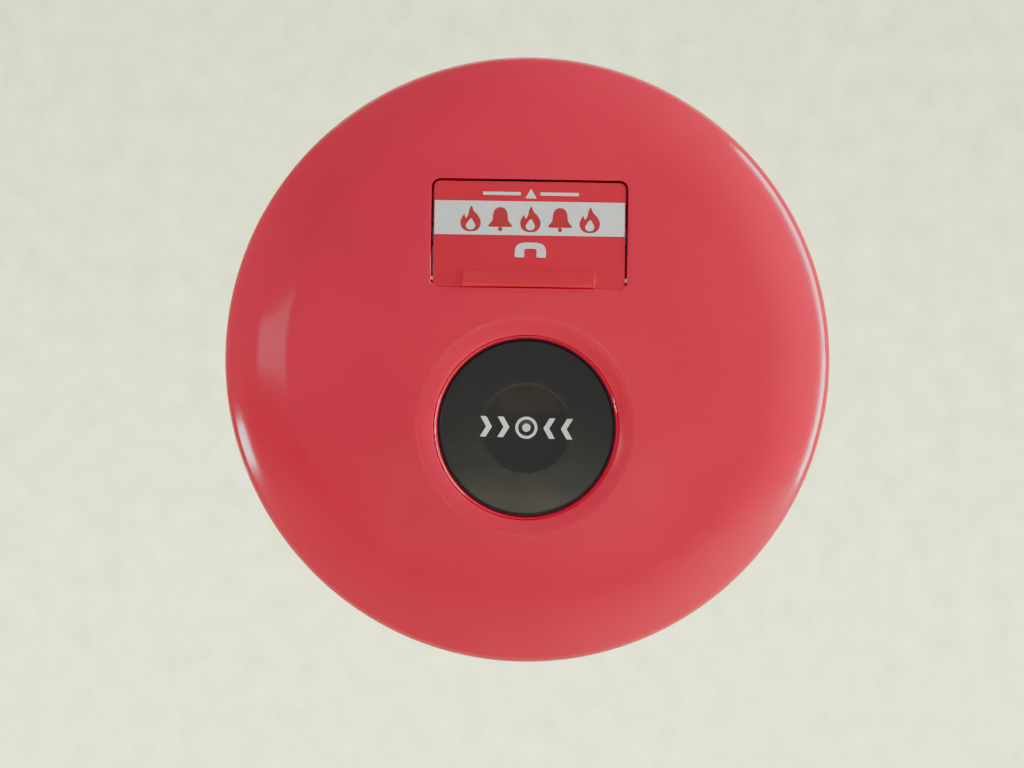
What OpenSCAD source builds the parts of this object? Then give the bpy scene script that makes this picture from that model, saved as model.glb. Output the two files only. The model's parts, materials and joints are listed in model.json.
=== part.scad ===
// Round wall-mounted fire alarm call point with a push plate, a telephone jack behind a
// hinged door, a reset slide and the switch mechanism behind its mounting plate.
// Row frame: X to the right, Z up, the wall is the plane Y = 0 and the front faces -Y.
// Each sub-part is drawn in a face frame (x right, y up, z out of the wall) and then
// stood up by on_wall(), which turns face z into -Y and face y into Z.

/* [Cover] */
// diameter of the round cover
cover_d = 150; // [120:1:180]
// height of the cover's dome above the wall
cover_h = 18; // [15:0.1:22]
// wall thickness of the moulded cover
cover_wall = 2.2; // [1.8:0.1:3]
// radius of the shallow dome
dome_r = 600; // [400:10:900]
// radius of the shoulder between the dome and the rim
shoulder_r = 29.8; // [20:0.1:36]
// radius of the rounded rim edge
edge_r = 4; // [3:0.1:6]
// slope of the shoulder where it meets the rim edge, in degrees
shoulder_slope = 38; // [30:1:50]

/* [Jack door] */
// width of the door opening
door_w = 48.1; // [40:0.1:58]
// height of the door opening
door_h = 27.5; // [25:0.1:32]
// height of the opening's centre above the cover's centre
door_y = 30.4; // [28:0.1:32]
// gap between the door and the opening
door_gap = 0.45; // [0.3:0.05:0.8]
// thickness of the door
door_t = 2; // [1.6:0.1:2.6]
// radius of the raised hinge barrel
barrel_r = 2.5; // [2.2:0.1:2.8]
// length of the raised hinge barrel
barrel_len = 32.3; // [24:0.1:36]
// diameter of the hinge pin
hinge_pin_d = 1.5; // [1.2:0.05:2]

/* [Push plate] */
// diameter of the push plate
plate_d = 43.2; // [36:0.1:52]
// distance of the plate's centre below the cover's centre
plate_drop = 16.8; // [14:0.1:20]
// travel of the plate when it is pushed
plate_travel = 3; // [2:0.1:3.5]
// gap between the plate and its collar
plate_gap = 0.35; // [0.3:0.05:0.6]
// diameter of the shallow dish in the plate
dish_d = 21; // [14:0.5:26]
// depth of the dish
dish_depth = 0.7; // [0.3:0.1:1]

/* [Telephone jack] */
// bore of the jack, for a 6.35 mm plug
jack_bore_d = 6.4; // [6.4:0.05:6.6]
// distance of the jack's axis from the left edge of the door opening
jack_left = 15.05; // [14:0.05:16]

/* [Wall fixing] */
// distance between the two box screws
box_pitch = 83.5; // [83.5:0.1:90]
// length of each box screw slot, end to end
slot_len = 9; // [6:0.5:12]
// width of each box screw slot
slot_w = 4.5; // [4:0.1:5]
// depth of the housing that goes into the wall box
housing_depth = 28; // [27:0.5:34]

/* [Clearances] */
// radial clearance of a turning or sliding fit
run_gap = 0.05; // [0.02:0.01:0.1]
// gap between moving pieces that don't touch
free_gap = 0.3; // [0.3:0.05:0.6]

/* [Hidden] */
$fn = 96;
dome_fn = 900;
cover_r = cover_d / 2;
red = [0.80, 0.19, 0.26];
door_red = [0.77, 0.22, 0.25];
smoke = [0.17, 0.17, 0.15];
steel = [0.72, 0.73, 0.74];
brass = [0.80, 0.66, 0.32];
nickel = [0.80, 0.79, 0.74];
black = [0.12, 0.12, 0.13];
ivory = [0.88, 0.86, 0.78];
spring_steel = [0.60, 0.61, 0.63];

// the cover's side outline: a dome arc, a shoulder arc and an edge arc, each tangent to the next
dome_z = cover_h - dome_r;
dome_slope = asin((cover_r - edge_r - (shoulder_r - edge_r) * sin(shoulder_slope)) / (dome_r - shoulder_r));
shoulder_c = [(dome_r - shoulder_r) * sin(dome_slope), dome_z + (dome_r - shoulder_r) * cos(dome_slope)];
edge_c = shoulder_c + (shoulder_r - edge_r) * [sin(shoulder_slope), cos(shoulder_slope)];

// chassis plate behind the cover
chassis_t = 1.6;
chassis_r = cover_r - 5;
screw_clear_r = 1.7;
thread_r = 1.3;
screw_r = 1.25;

// door, hinged along its bottom edge
door_sink = 0.2;
door_bottom = door_y - door_h / 2;
door_top = door_y + door_h / 2;
hinge_y = door_bottom + 2.97;
hinge_z = dome_height(hinge_y) - door_sink - 1.7;
well_wall = 1.6;
corner_r = 2;
bevel = [1.5, 1.2];
pin_r = hinge_pin_d / 2;

// jack panel at the bottom of the well behind the door
panel_t = 1.5;
panel_z = chassis_t + 3.4;
panel_top = panel_z + panel_t;
well_z = panel_z - 0.5;
post_x = door_w / 2 - 4;
post_r = 3;
post_low_y = door_bottom + 4.6;
post_high_y = door_top - 4;
ear_t = 1.5;
jack_x = jack_left - door_w / 2;
jack_y = door_y;
spring_x = jack_x + 9;
jack_r = jack_bore_d / 2;
bush_r = 4.6;
bush_top = panel_top + 3.7;

// latch at the top of the door
latch_pin_r = 0.75;
latch_y = door_top - 2.25;
nose_top = dome_height(latch_y) - door_sink - door_t - 0.4;
nose_t = 0.9;
latch_z = nose_top - 5.4;
latch_r = 1.7;
latch_half = 2.6;

// push plate and plunger
plate_r = plate_d / 2;
plate_y = -plate_drop;
plate_face = cover_h - 2.7;
plate_t = 2;
flange_t = 1.5;
flange_r = plate_r + 1.8;
flange_z = plate_face - 4.6;
lip_z = flange_z + flange_t + 0.4;
hub_z = plate_face - 5.6;
hub_r = 7.5;
plunger_r = 3;
plunger_tail_r = 2.2;
tail_z = -8.3;
guide_r = 4.5;
guide_end = -0.8;
guide_top = hub_z - plate_travel - 0.6;
cam_t = 2;
cam_r = 10;

// rolled collar around the push plate, drawn about the dome's own normal there
collar_tilt = asin(plate_drop / dome_r);
lip_r = plate_r + plate_gap;
roll_r = lip_r + 4.05;
fillet_r = 2;
roll_in = asin(roll_r / dome_r);
roll_out = 12;
roll_sink = 0.03;
roll_arc = (roll_r - lip_r - fillet_r + fillet_r * sin(roll_out)) / (sin(roll_out) + sin(roll_in));
roll_c = [roll_r - roll_arc * sin(roll_in), -dome_r + sqrt(pow(dome_r, 2) - pow(roll_r, 2)) - roll_sink
    - roll_arc * cos(roll_in)];
fillet_c = roll_c + (roll_arc - fillet_r) * [-sin(roll_out), cos(roll_out)];

// switch frame behind the chassis
sheet = 1.2;
frame_z = -8;
frame_half_x = 20.2;
frame_half_y = 13;
foot_x = 23;
foot_dy = 8;
foot_end = 25.6;

// hold pawl, turned by the reset slide
pawl_p = [8, plate_y - 8.2];
pawl_z = [-2.9, -1.1];
pawl_pin_r = 1.45;

// reset slide
slide_x = 14.6;
slide_w = 4.4;
slide_z = [-2.6, -1.2];
slide_travel = 3;
slide_low = pawl_p[1] + 2.9;
slide_high = door_y + 4.6;
rivet_y = [plate_y + 10.8, plate_y + 28.8];
rivet_r = 1.5;
reset_post = [2.6, 2.4];
reset_y = door_y;
knob = [5.4, 4, 4.4];

// snap switches under the cam
switch_x = 7.4;
switch_w = 5.8;
switch_l = 12.8;
switch_h = 6.5;
switch_top = -14.6;
lever_y = plate_y - 5.2;
lever_z = -13.9;
lever_len = 10.5;
lever_rise = 16.6;
lever_t = 0.3;
trunnion_r = 0.4;
ear_half = 0.9;
ear_wide = 0.7;
button_y = plate_y - 1.5;
button_r = 0.7;
button_top = -13.5;
switch_hole_dy = 3.25;
switch_hole_z = switch_top - 4;
tab_x = switch_x + switch_w / 2 + 0.1;

// response lamp behind the smoked plate
lamp_p = [-2.9, plate_y + 16.1];
lamp_r = 2.5;
lamp_top = plate_face - plate_t - plate_travel - 0.7;
lamp_base = chassis_t + 2;

// rear housing and terminals
housing_half_x = 28;
housing_low = -44.5;
housing_high = 46;
housing_wall = 2;
housing_z = -housing_depth;
boss_x = 24;
boss_y = [-38, 31];
terminal_n = 6;
terminal_pitch = 7.6;
terminal_y = -29;
terminal_half_y = 7;
terminal_floor = housing_z - 5;
barrier_z = housing_z - 8;
lead_r = 0.6;
lead_exit_y = terminal_y + 9.5;
lead_hole_r = 1.3;

// ---- helpers ----

function dome_height(r) = dome_z + sqrt(pow(dome_r, 2) - pow(r, 2));

function unit(v) = v / norm(v);

function heading(p, i) = unit(p[min(i + 1, len(p) - 1)] - p[max(i - 1, 0)]);

function carried(v, t) = unit(v - t * (v * t));

function sides(p, v, i = 0) =
    i == len(p) ? [] : let (n = carried(v, heading(p, i))) concat([n], sides(p, n, i + 1));

// a smooth run of points through the route's own points
function smooth(p, steps = 4) = concat(
    [for (i = [0:len(p) - 2], k = [0:steps - 1]) let (
        a = p[max(i - 1, 0)],
        b = p[i],
        c = p[i + 1],
        d = p[min(i + 2, len(p) - 1)],
        t = k / steps
    ) 0.5 * (2 * b + (c - a) * t + (2 * a - 5 * b + 4 * c - d) * pow(t, 2)
        + (3 * b - a - 3 * c + d) * pow(t, 3))],
    [p[len(p) - 1]]
);

// points of a coil about the z axis
function coil(r, z0, z1, turns, steps = 16) =
    [for (i = [0:round(turns * steps)]) let (t = i / round(turns * steps))
        [r * cos(360 * turns * t), r * sin(360 * turns * t), z0 + (z1 - z0) * t]];

// both sides of a bent strip of even thickness, as one outline
function strip_outline(p, t) = let (
    n = [for (i = [0:len(p) - 1]) let (h = heading(p, i)) [-h[1], h[0]] * t / 2]
) concat([for (i = [0:len(p) - 1]) p[i] + n[i]], [for (i = [len(p) - 1:-1:0]) p[i] - n[i]]);

module tube_along(p, r, start = [0, 0, 1], n = 8) {
    v = sides(p, start);
    rings = [for (i = [0:len(p) - 1]) let (w = cross(heading(p, i), v[i]))
        for (k = [0:n - 1]) p[i] + r * (cos(360 * k / n) * v[i] + sin(360 * k / n) * w)];
    skin = [for (i = [0:len(p) - 2], k = [0:n - 1])
        [(i + 1) * n + k, (i + 1) * n + (k + 1) % n, i * n + (k + 1) % n, i * n + k]];
    near = [[for (k = [0:n - 1]) k]];
    far = [[for (k = [n - 1:-1:0]) (len(p) - 1) * n + k]];
    polyhedron(points = rings, faces = concat(skin, near, far), convexity = 6);
}

module on_wall() {
    rotate([90, 0, 0])
        children();
}

module both_sides() {
    children();
    mirror([1, 0, 0])
        children();
}

// a box from its low corner to its high corner
module block(low, high) {
    translate(low)
        cube(high - low);
}

// a bar along x with its ends at plus and minus half
module x_rod(r, half, y, z) {
    translate([-half, y, z])
        rotate([0, 90, 0])
            cylinder(r = r, h = 2 * half);
}

// a pan head screw whose head sits on z = 0 and whose shank goes down
module screw(r, len, head_r, head_h) {
    difference() {
        union() {
            translate([0, 0, -len])
                cylinder(r = r, h = len + 0.1);
            cylinder(r = head_r, h = head_h * 0.6);
            translate([0, 0, head_h * 0.6])
                cylinder(r1 = head_r, r2 = head_r * 0.72, h = head_h * 0.4);
        }
        for (turn = [0, 90])
            rotate(turn)
                translate([-head_r * 0.55, -head_r * 0.12, head_h * 0.45])
                    cube([head_r * 1.1, head_r * 0.24, head_h]);
    }
}

// a slot with round ends, cut along x
module slot_x(length, width, h) {
    straight = length - width;
    translate([-straight / 2, -width / 2, 0])
        cube([straight, width, h]);
    for (side = [-1, 1])
        translate([side * straight / 2, 0, 0])
            cylinder(r = width / 2, h = h);
}

// a rectangle with round corners
module round_rect(low, high, r) {
    translate(low + [r, 0])
        square(high - low - [2 * r, 0]);
    translate(low + [0, r])
        square(high - low - [0, 2 * r]);
    for (x = [low[0] + r, high[0] - r], y = [low[1] + r, high[1] - r])
        translate([x, y])
            circle(r = r);
}

// ---- cover ----

// points of an arc about c, with its angle measured from straight up toward +x
function arc(c, r, from, to, n) =
    [for (i = [0:n]) let (a = from + (to - from) * i / n) c + r * [sin(a), cos(a)]];

// side outline of the cover's outer surface, moved in by inset, down to z = low
module dome_outline(inset, low) {
    rim = arc(edge_c, edge_r - inset, 90, shoulder_slope, 7);
    shoulder = arc(shoulder_c, shoulder_r - inset, shoulder_slope, dome_slope, 10);
    dome = arc([0, dome_z], dome_r - inset, dome_slope, 0, 12);
    polygon(concat([[0, low], [cover_r - inset, low]], rim, [for (i = [1:10]) shoulder[i]],
        [for (i = [1:12]) dome[i]]));
}

module dome_solid(inset) {
    rotate_extrude()
        dome_outline(inset, 0);
}

// a layer of the dome as far out as the door, sunk below the cover's surface
module dome_skin(sink, thick) {
    rotate_extrude()
        intersection() {
            translate([0, dome_z])
                difference() {
                    circle(r = dome_r - sink, $fn = dome_fn);
                    circle(r = dome_r - sink - thick, $fn = dome_fn);
                }
            square([norm([door_w / 2, door_top]) + 2, cover_h + 1]);
        }
}

module cover_shell() {
    rotate_extrude()
        difference() {
            dome_outline(0, 0);
            dome_outline(cover_wall, -1);
        }
}

// outline of the door opening, grown outward all round
module opening_outline(grow) {
    half = door_w / 2 + grow;
    low = door_bottom - grow;
    high = door_top + grow;
    r = corner_r + grow;
    polygon([[-half + bevel[0], low], [half - bevel[0], low], [half, low + bevel[1]],
        [half, high - r], [-half, high - r], [-half, low + bevel[1]]]);
    translate([-half + r, high - 2 * r])
        square([2 * (half - r), 2 * r]);
    for (side = [-1, 1])
        translate([side * (half - r), high - r])
            circle(r = r);
}

module plate_axis() {
    translate([0, plate_y, dome_height(plate_drop)])
        rotate([collar_tilt, 0, 0])
            children();
}

// the rolled lip around the push plate
module collar_outline() {
    outer = roll_r + 2;
    bury = cover_wall * 0.6;
    rim = roll_c + roll_arc * [sin(roll_in), cos(roll_in)];
    intersection() {
        translate(roll_c)
            circle(r = roll_arc);
        polygon([roll_c, roll_c + 2 * roll_arc * [sin(roll_in), cos(roll_in)],
            roll_c + 2 * roll_arc * [-sin(roll_out), cos(roll_out)]]);
    }
    intersection() {
        translate(fillet_c)
            circle(r = fillet_r);
        polygon([fillet_c, fillet_c + 2 * fillet_r * [-sin(roll_out), cos(roll_out)],
            fillet_c + 2 * fillet_r * [-1, 1], fillet_c + 2 * fillet_r * [-1, 0]]);
    }
    polygon([[lip_r, roll_c[1]], roll_c, fillet_c, [lip_r, fillet_c[1]]]);
    polygon([[lip_r, roll_c[1]], [outer, roll_c[1]], [outer, rim[1] - bury - 0.1], rim - [0, bury], rim,
        roll_c]);
}

module collar() {
    intersection() {
        plate_axis()
            rotate_extrude()
                collar_outline();
        translate([0, plate_y, lip_z])
            cylinder(r = roll_r + 4, h = cover_h);
    }
}

module door_well() {
    intersection() {
        translate([0, 0, well_z])
            linear_extrude(height = cover_h)
                opening_outline(well_wall);
        dome_solid(cover_wall / 2);
    }
}

module cover_ears() {
    both_sides()
        block([post_x - 4, post_high_y - 4, panel_top],
            [door_w / 2 + 0.5, door_top + 0.5, panel_top + ear_t]);
}

// peg that drops through the window in the chassis tongue
module cover_peg() {
    block([-3.7, -cover_r + 1.4, 3.2], [3.7, -chassis_r + 5.4, 5.6]);
}

module front_cover() {
    color(red) on_wall() difference() {
        union() {
            difference() {
                union() {
                    difference() {
                        cover_shell();
                        plate_axis()
                            cylinder(r = roll_r - 0.1, h = cover_h, center = true);
                    }
                    collar();
                    door_well();
                    for (turn = [45:90:315])
                        rotate(turn)
                            block([chassis_r + free_gap, -1, 0.3], [cover_r - 1.4, 1, edge_c[1] - 0.5]);
                }
                translate([0, 0, -1])
                    linear_extrude(height = 2 * cover_h)
                        opening_outline(0);
            }
            cover_ears();
            cover_peg();
        }
        x_rod(pin_r + 0.03, door_w / 2 + well_wall + 0.5, hinge_y, hinge_z);
        for (side = [-1, 1])
            translate([side * post_x, post_high_y, 0])
                cylinder(r = screw_clear_r, h = cover_h - 4);
    }
}

// ---- chassis ----

module chassis_plate() {
    tongue_y = -chassis_r + 3;
    color(steel) on_wall() difference() {
        union() {
            cylinder(r = chassis_r, h = chassis_t);
            block([-6, tongue_y, 0], [6, tongue_y + chassis_t, 6.9]);
            block([slide_x - 0.6, slide_high + 7, slide_z[0] - 0.6], [slide_x + 0.6, slide_high + 8, 0.1]);
        }
        block([-4, tongue_y - 1, 2.9], [4, tongue_y + 3, 5.9]);
        for (side = [-1, 1])
            translate([side * box_pitch / 2, 0, -1])
                slot_x(slot_len, slot_w, 4);
        translate([0, plate_y, -1])
            cylinder(r = guide_r + run_gap, h = 4);
        block([jack_x - 7, jack_y - 8, -1], [jack_x + 7, jack_y + 8, 3]);
        block([slide_x - 1.7, reset_y - slide_travel - 1.6, -1], [slide_x + 1.7, reset_y + 1.6, 3]);
        for (side = [-1, 1], y = boss_y)
            translate([side * boss_x, y, -1])
                cylinder(r = screw_clear_r, h = 4);
        for (side = [-1, 1], dy = [-foot_dy, foot_dy])
            translate([side * foot_x, plate_y + dy, -1])
                cylinder(r = screw_clear_r, h = 4);
        for (y = rivet_y)
            translate([slide_x, y, -1])
                cylinder(r = rivet_r + run_gap, h = 4);
        translate([pawl_p[0], pawl_p[1], -1])
            cylinder(r = pawl_pin_r + run_gap, h = 4);
        for (side = [-1, 1])
            translate([lamp_p[0] + side * 1.27, lamp_p[1], -1])
                cylinder(r = 0.9, h = 4);
    }
}

module panel_posts() {
    color(brass) on_wall()
        for (side = [-1, 1], y = [post_low_y, post_high_y])
            translate([side * post_x, y, chassis_t])
                difference() {
                    cylinder(r = post_r, h = panel_z - chassis_t);
                    translate([0, 0, -1])
                        cylinder(r = thread_r, h = panel_z + 2);
                }
}

module cover_screws() {
    color(steel) on_wall()
        for (side = [-1, 1])
            translate([side * post_x, post_high_y, panel_top + ear_t])
                screw(screw_r, panel_top + ear_t - chassis_t - 0.4, 2.9, 2);
}

module panel_screws() {
    color(steel) on_wall()
        for (side = [-1, 1])
            translate([side * post_x, post_low_y, panel_top])
                screw(screw_r, panel_top - chassis_t - 0.4, 2.9, 2);
}

// ---- door ----

module jack_door() {
    tube = door_w / 2 - door_gap;
    color(door_red) on_wall() difference() {
        union() {
            intersection() {
                linear_extrude(height = 2 * cover_h)
                    opening_outline(-door_gap);
                dome_skin(door_sink, door_t);
                block([-door_w, hinge_y, 0], [door_w, door_top, 2 * cover_h]);
            }
            intersection() {
                x_rod(barrel_r, tube, hinge_y, hinge_z);
                linear_extrude(height = 2 * cover_h)
                    opening_outline(-door_gap);
                dome_skin(door_sink, 4 * barrel_r);
            }
            x_rod(barrel_r, barrel_len / 2, hinge_y, hinge_z);
            block([-2.4, latch_y - 3.7, nose_top - 2.1], [2.4, latch_y - 2.1, nose_top + 0.7]);
            block([-2.4, latch_y - 2.2, nose_top - 2.1], [2.4, latch_y - 1, nose_top - nose_t - free_gap]);
        }
        x_rod(pin_r + run_gap, door_w, hinge_y, hinge_z);
    }
}

module door_hinge_pin() {
    color(steel) on_wall()
        x_rod(pin_r, door_w / 2 + well_wall - 0.3, hinge_y, hinge_z);
}

// leaf that kicks the door open
module door_spring() {
    foot_y = door_bottom + 2.4;
    tip = [foot_y + 4.4, dome_height(door_y) - door_sink - door_t - 0.4];
    bend = foot_y + 6.2;
    path = concat(
        [[foot_y, panel_top + 0.2]],
        [for (a = [-90:15:0]) [bend, panel_top + 1.9] + 1.7 * [cos(a), sin(a)]],
        [for (t = [0.25:0.25:1]) let (b = [bend + 1.7, panel_top + 1.9])
            b + [(tip[0] - b[0]) * pow(t, 2), (tip[1] - b[1]) * t]]
    );
    color(spring_steel) on_wall() difference() {
        translate([spring_x - 3, 0, 0])
            rotate([90, 0, 90])
                linear_extrude(height = 6)
                    polygon(strip_outline(path, 0.4));
        translate([spring_x, foot_y + 2.6, panel_top - 1])
            cylinder(r = 1.05, h = 2);
    }
}

module door_spring_rivet() {
    color(steel) on_wall()
        translate([spring_x, door_bottom + 5, 0]) {
            translate([0, 0, panel_z - 0.6])
                cylinder(r = 1, h = panel_t + 1.6);
            translate([0, 0, panel_top + 0.4])
                cylinder(r = 1.9, h = 0.7);
        }
}

module latch_hook() {
    color(ivory) on_wall() difference() {
        union() {
            x_rod(latch_r, latch_half, latch_y, latch_z);
            block([-latch_half, latch_y - 0.6, latch_z], [latch_half, latch_y + 0.6, nose_top]);
            translate([-latch_half, 0, 0])
                rotate([90, 0, 90])
                    linear_extrude(height = 2 * latch_half)
                        polygon([[latch_y - 1.8, nose_top - nose_t], [latch_y, nose_top - nose_t],
                            [latch_y, nose_top], [latch_y - 1.1, nose_top], [latch_y - 1.8, nose_top - 0.5]]);
        }
        x_rod(latch_pin_r + run_gap, 4, latch_y, latch_z);
    }
}

module latch_pin() {
    color(steel) on_wall()
        x_rod(latch_pin_r, 4.3, latch_y, latch_z);
}

module latch_spring() {
    color(spring_steel) on_wall()
        translate([0, latch_y + 0.6, latch_z + 3])
            rotate([-90, 0, 0])
                tube_along(coil(1.2, 0.18, door_top - latch_y - 0.78, 3), 0.17, n = 6);
}

// ---- jack ----

module jack_panel() {
    half = door_w / 2 - 0.85;
    low = door_bottom + 1;
    high = door_top - 0.95;
    color(nickel) on_wall() difference() {
        union() {
            block([-half, low, panel_z], [half, high, panel_top]);
            both_sides()
                block([3.2, latch_y - 1.3, min(panel_top - 0.1, latch_z - 1.3)],
                    [4.4, latch_y + 1.3, latch_z + 1.5]);
        }
        x_rod(latch_r + free_gap, latch_half + free_gap, latch_y, latch_z);
        translate([jack_x, jack_y, panel_z - 1])
            cylinder(r = bush_r + 0.1, h = panel_t + 2);
        block([slide_x - 2, reset_y - slide_travel - 2, panel_z - 1],
            [slide_x + 2, reset_y + 2, panel_top + 1]);
        for (side = [-1, 1], y = [post_low_y, post_high_y])
            translate([side * post_x, y, panel_z - 1])
                cylinder(r = screw_clear_r, h = panel_t + 2);
        translate([spring_x, door_bottom + 5, panel_z - 1])
            cylinder(r = 1.05, h = panel_t + 2);
        x_rod(latch_pin_r + 0.03, 6, latch_y, latch_z);
    }
}

module jack_bushing() {
    color(nickel) on_wall()
        translate([jack_x, jack_y, 0])
            rotate_extrude()
                polygon([[jack_r, panel_z - 4], [bush_r - 0.6, panel_z - 4], [bush_r - 0.6, panel_z - 1.2],
                    [6, panel_z - 1.2], [6, panel_z], [bush_r, panel_z], [bush_r, bush_top - 0.5],
                    [bush_r - 0.5, bush_top], [jack_r, bush_top]]);
}

module jack_washer() {
    color(steel) on_wall()
        translate([jack_x, jack_y, panel_top])
            difference() {
                cylinder(r = 7, h = 0.7);
                translate([0, 0, -1])
                    cylinder(r = bush_r + run_gap, h = 3);
            }
}

module jack_nut() {
    color(nickel) on_wall()
        translate([jack_x, jack_y, panel_top + 0.7])
            difference() {
                cylinder(r = 12 / sqrt(3), h = 2.2, $fn = 6);
                translate([0, 0, -1])
                    cylinder(r = bush_r + run_gap, h = 5);
            }
}

module jack_body() {
    top = panel_z - 1.2;
    end = -21.5;
    chamber = jack_r + 0.1;
    color(black) on_wall()
        translate([jack_x, jack_y, 0])
            difference() {
                block([-6, -7, end], [6, 7, top]);
                translate([0, 0, end + 1.2])
                    block([-chamber, -chamber, 0], [chamber, chamber, top - end]);
                translate([0, 0, top - 3])
                    cylinder(r = bush_r, h = 4);
                for (side = [-1, 1])
                    scale([1, side, 1])
                        block([-2, 2, end - 1], [2, 4.9, -3.5]);
            }
}

// tip and ring contacts of the jack
module jack_springs() {
    path = [[4.7, -23.5], [4.7, -18], [4.5, -15], [3.9, -11], [3.6, -9], [4.1, -7], [4.5, -5]];
    color(brass) on_wall()
        translate([jack_x, jack_y, 0])
            for (side = [-1, 1])
                scale([1, side, 1])
                    translate([-1.5, 0, 0])
                        rotate([90, 0, 90])
                            linear_extrude(height = 3)
                                polygon(strip_outline(path, 0.4));
}

// ---- reset ----

module reset_slide() {
    rivet_slot = slide_travel + 2 * (rivet_r + 0.15);
    color(steel) on_wall() difference() {
        union() {
            block([slide_x - slide_w / 2, slide_low + 4, slide_z[0]],
                [slide_x + slide_w / 2, slide_high, slide_z[1]]);
            block([slide_x + 0.6, slide_low, slide_z[0]], [slide_x + slide_w / 2, slide_low + 5, slide_z[1]]);
            block([slide_x - reset_post[0] / 2, reset_y - reset_post[1] / 2, slide_z[0]],
                [slide_x + reset_post[0] / 2, reset_y + reset_post[1] / 2, panel_top + 3.5]);
        }
        for (y = rivet_y)
            translate([slide_x, y + slide_travel / 2, slide_z[0] - 1])
                rotate(90)
                    slot_x(rivet_slot, 2 * (rivet_r + run_gap), 4);
    }
}

module reset_knob() {
    color([0.85, 0.62, 0.12]) on_wall()
        translate([slide_x, reset_y, panel_top + 0.6])
            difference() {
                union() {
                    block([-knob[0] / 2, -knob[1] / 2, 0], [knob[0] / 2, knob[1] / 2, knob[2] - 0.6]);
                    for (dy = [-1.2, 0, 1.2])
                        block([-knob[0] / 2, dy - 0.35, 0], [knob[0] / 2, dy + 0.35, knob[2]]);
                }
                block([-reset_post[0] / 2 - run_gap, -reset_post[1] / 2 - run_gap, -1],
                    [reset_post[0] / 2 + run_gap, reset_post[1] / 2 + run_gap, 2.9]);
            }
}

module reset_spring() {
    color(spring_steel) on_wall()
        translate([slide_x, slide_high, -2])
            rotate([-90, 0, 0])
                tube_along(coil(1.2, 0.22, 6.78, 7, 12), 0.2, n = 6);
}

module slide_rivets() {
    color(steel) on_wall()
        for (y = rivet_y)
            translate([slide_x, y, 0]) {
                translate([0, 0, slide_z[0] - 0.8])
                    cylinder(r = rivet_r, h = chassis_t - slide_z[0] + 1);
                translate([0, 0, chassis_t])
                    cylinder(r = 2.6, h = 0.8);
                translate([0, 0, slide_z[0] - 0.9])
                    cylinder(r = 2.8, h = 0.8);
            }
}

// ---- push plate ----

module push_plate() {
    dish_r = (pow(dish_d / 2, 2) + pow(dish_depth, 2)) / (2 * dish_depth);
    color(smoke) on_wall()
        translate([0, plate_y, 0])
            difference() {
                union() {
                    difference() {
                        union() {
                            translate([0, 0, flange_z])
                                cylinder(r = plate_r, h = plate_face - flange_z - 0.4);
                            translate([0, 0, plate_face - 0.4])
                                cylinder(r1 = plate_r, r2 = plate_r - 0.4, h = 0.4);
                            translate([0, 0, flange_z])
                                cylinder(r = flange_r, h = flange_t);
                        }
                        translate([0, 0, flange_z - 1])
                            cylinder(r = plate_r - 2, h = plate_face - plate_t - flange_z + 1);
                    }
                    translate([0, 0, hub_z])
                        cylinder(r = hub_r, h = plate_face - plate_t - hub_z + 0.1);
                    for (turn = [45:90:315])
                        rotate(turn)
                            block([hub_r - 1, -0.6, hub_z + 1.4],
                                [plate_r - 1.9, 0.6, plate_face - plate_t + 0.1]);
                }
                translate([0, 0, plate_face - dish_depth + dish_r])
                    sphere(r = dish_r);
                translate([0, 0, hub_z - 1])
                    cylinder(r = plunger_r + run_gap, h = 3.4);
            }
}

module plunger() {
    notch = [-0.1, 2.1];
    color(steel) on_wall()
        translate([0, plate_y, 0])
            difference() {
                union() {
                    translate([0, 0, tail_z])
                        cylinder(r = plunger_r, h = hub_z + 2.4 - tail_z);
                    translate([0, 0, tail_z - 4])
                        cylinder(r = plunger_tail_r, h = 4.1);
                }
                translate([0, 0, notch[0]])
                    difference() {
                        cylinder(r = plunger_r + 1, h = notch[1] - notch[0]);
                        translate([0, 0, -1])
                            cylinder(r = plunger_r - 1, h = 5);
                    }
                translate([0, 0, tail_z - cam_t - 0.65])
                    difference() {
                        cylinder(r = plunger_tail_r + 1, h = 0.65);
                        translate([0, 0, -1])
                            cylinder(r = plunger_tail_r - 0.5, h = 3);
                    }
            }
}

module plunger_guide() {
    color(brass) on_wall()
        translate([0, plate_y, 0])
            difference() {
                union() {
                    translate([0, 0, guide_end])
                        cylinder(r = guide_r, h = guide_top - guide_end);
                    translate([0, 0, chassis_t])
                        cylinder(r = guide_r + 0.7, h = 1);
                }
                translate([0, 0, guide_end - 1])
                    cylinder(r = plunger_r + run_gap, h = guide_top - guide_end + 2);
            }
}

module return_spring() {
    wire = 0.4;
    color(spring_steel) on_wall()
        translate([0, plate_y, 0])
            tube_along(coil(6.2, chassis_t + wire, hub_z - wire, 4, 20), wire);
}

module plunger_cam() {
    color(ivory) on_wall()
        translate([0, plate_y, tail_z - cam_t])
            difference() {
                union() {
                    cylinder(r1 = cam_r - 0.5, r2 = cam_r, h = 0.5);
                    translate([0, 0, 0.5])
                        cylinder(r = cam_r, h = cam_t - 0.5);
                }
                translate([0, 0, -1])
                    cylinder(r = plunger_tail_r + run_gap, h = cam_t + 2);
                block([-cam_r, -cam_r - 1, -1],
                    [cam_r, lever_y + ear_half + 2 * free_gap - plate_y, cam_t + 1]);
            }
}

module plunger_clip() {
    color(spring_steel) on_wall()
        translate([0, plate_y, tail_z - cam_t - 0.6])
            difference() {
                cylinder(r = 4.2, h = 0.6);
                translate([0, 0, -1])
                    cylinder(r = plunger_tail_r - 0.45, h = 3);
                block([-plunger_tail_r + 0.6, 0, -1], [plunger_tail_r - 0.6, 6, 3]);
                for (turn = [0, 120, 240])
                    rotate(turn + 30)
                        translate([2.9, 0, -1])
                            cylinder(r = 0.7, h = 3);
            }
}

// ---- hold pawl ----

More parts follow.
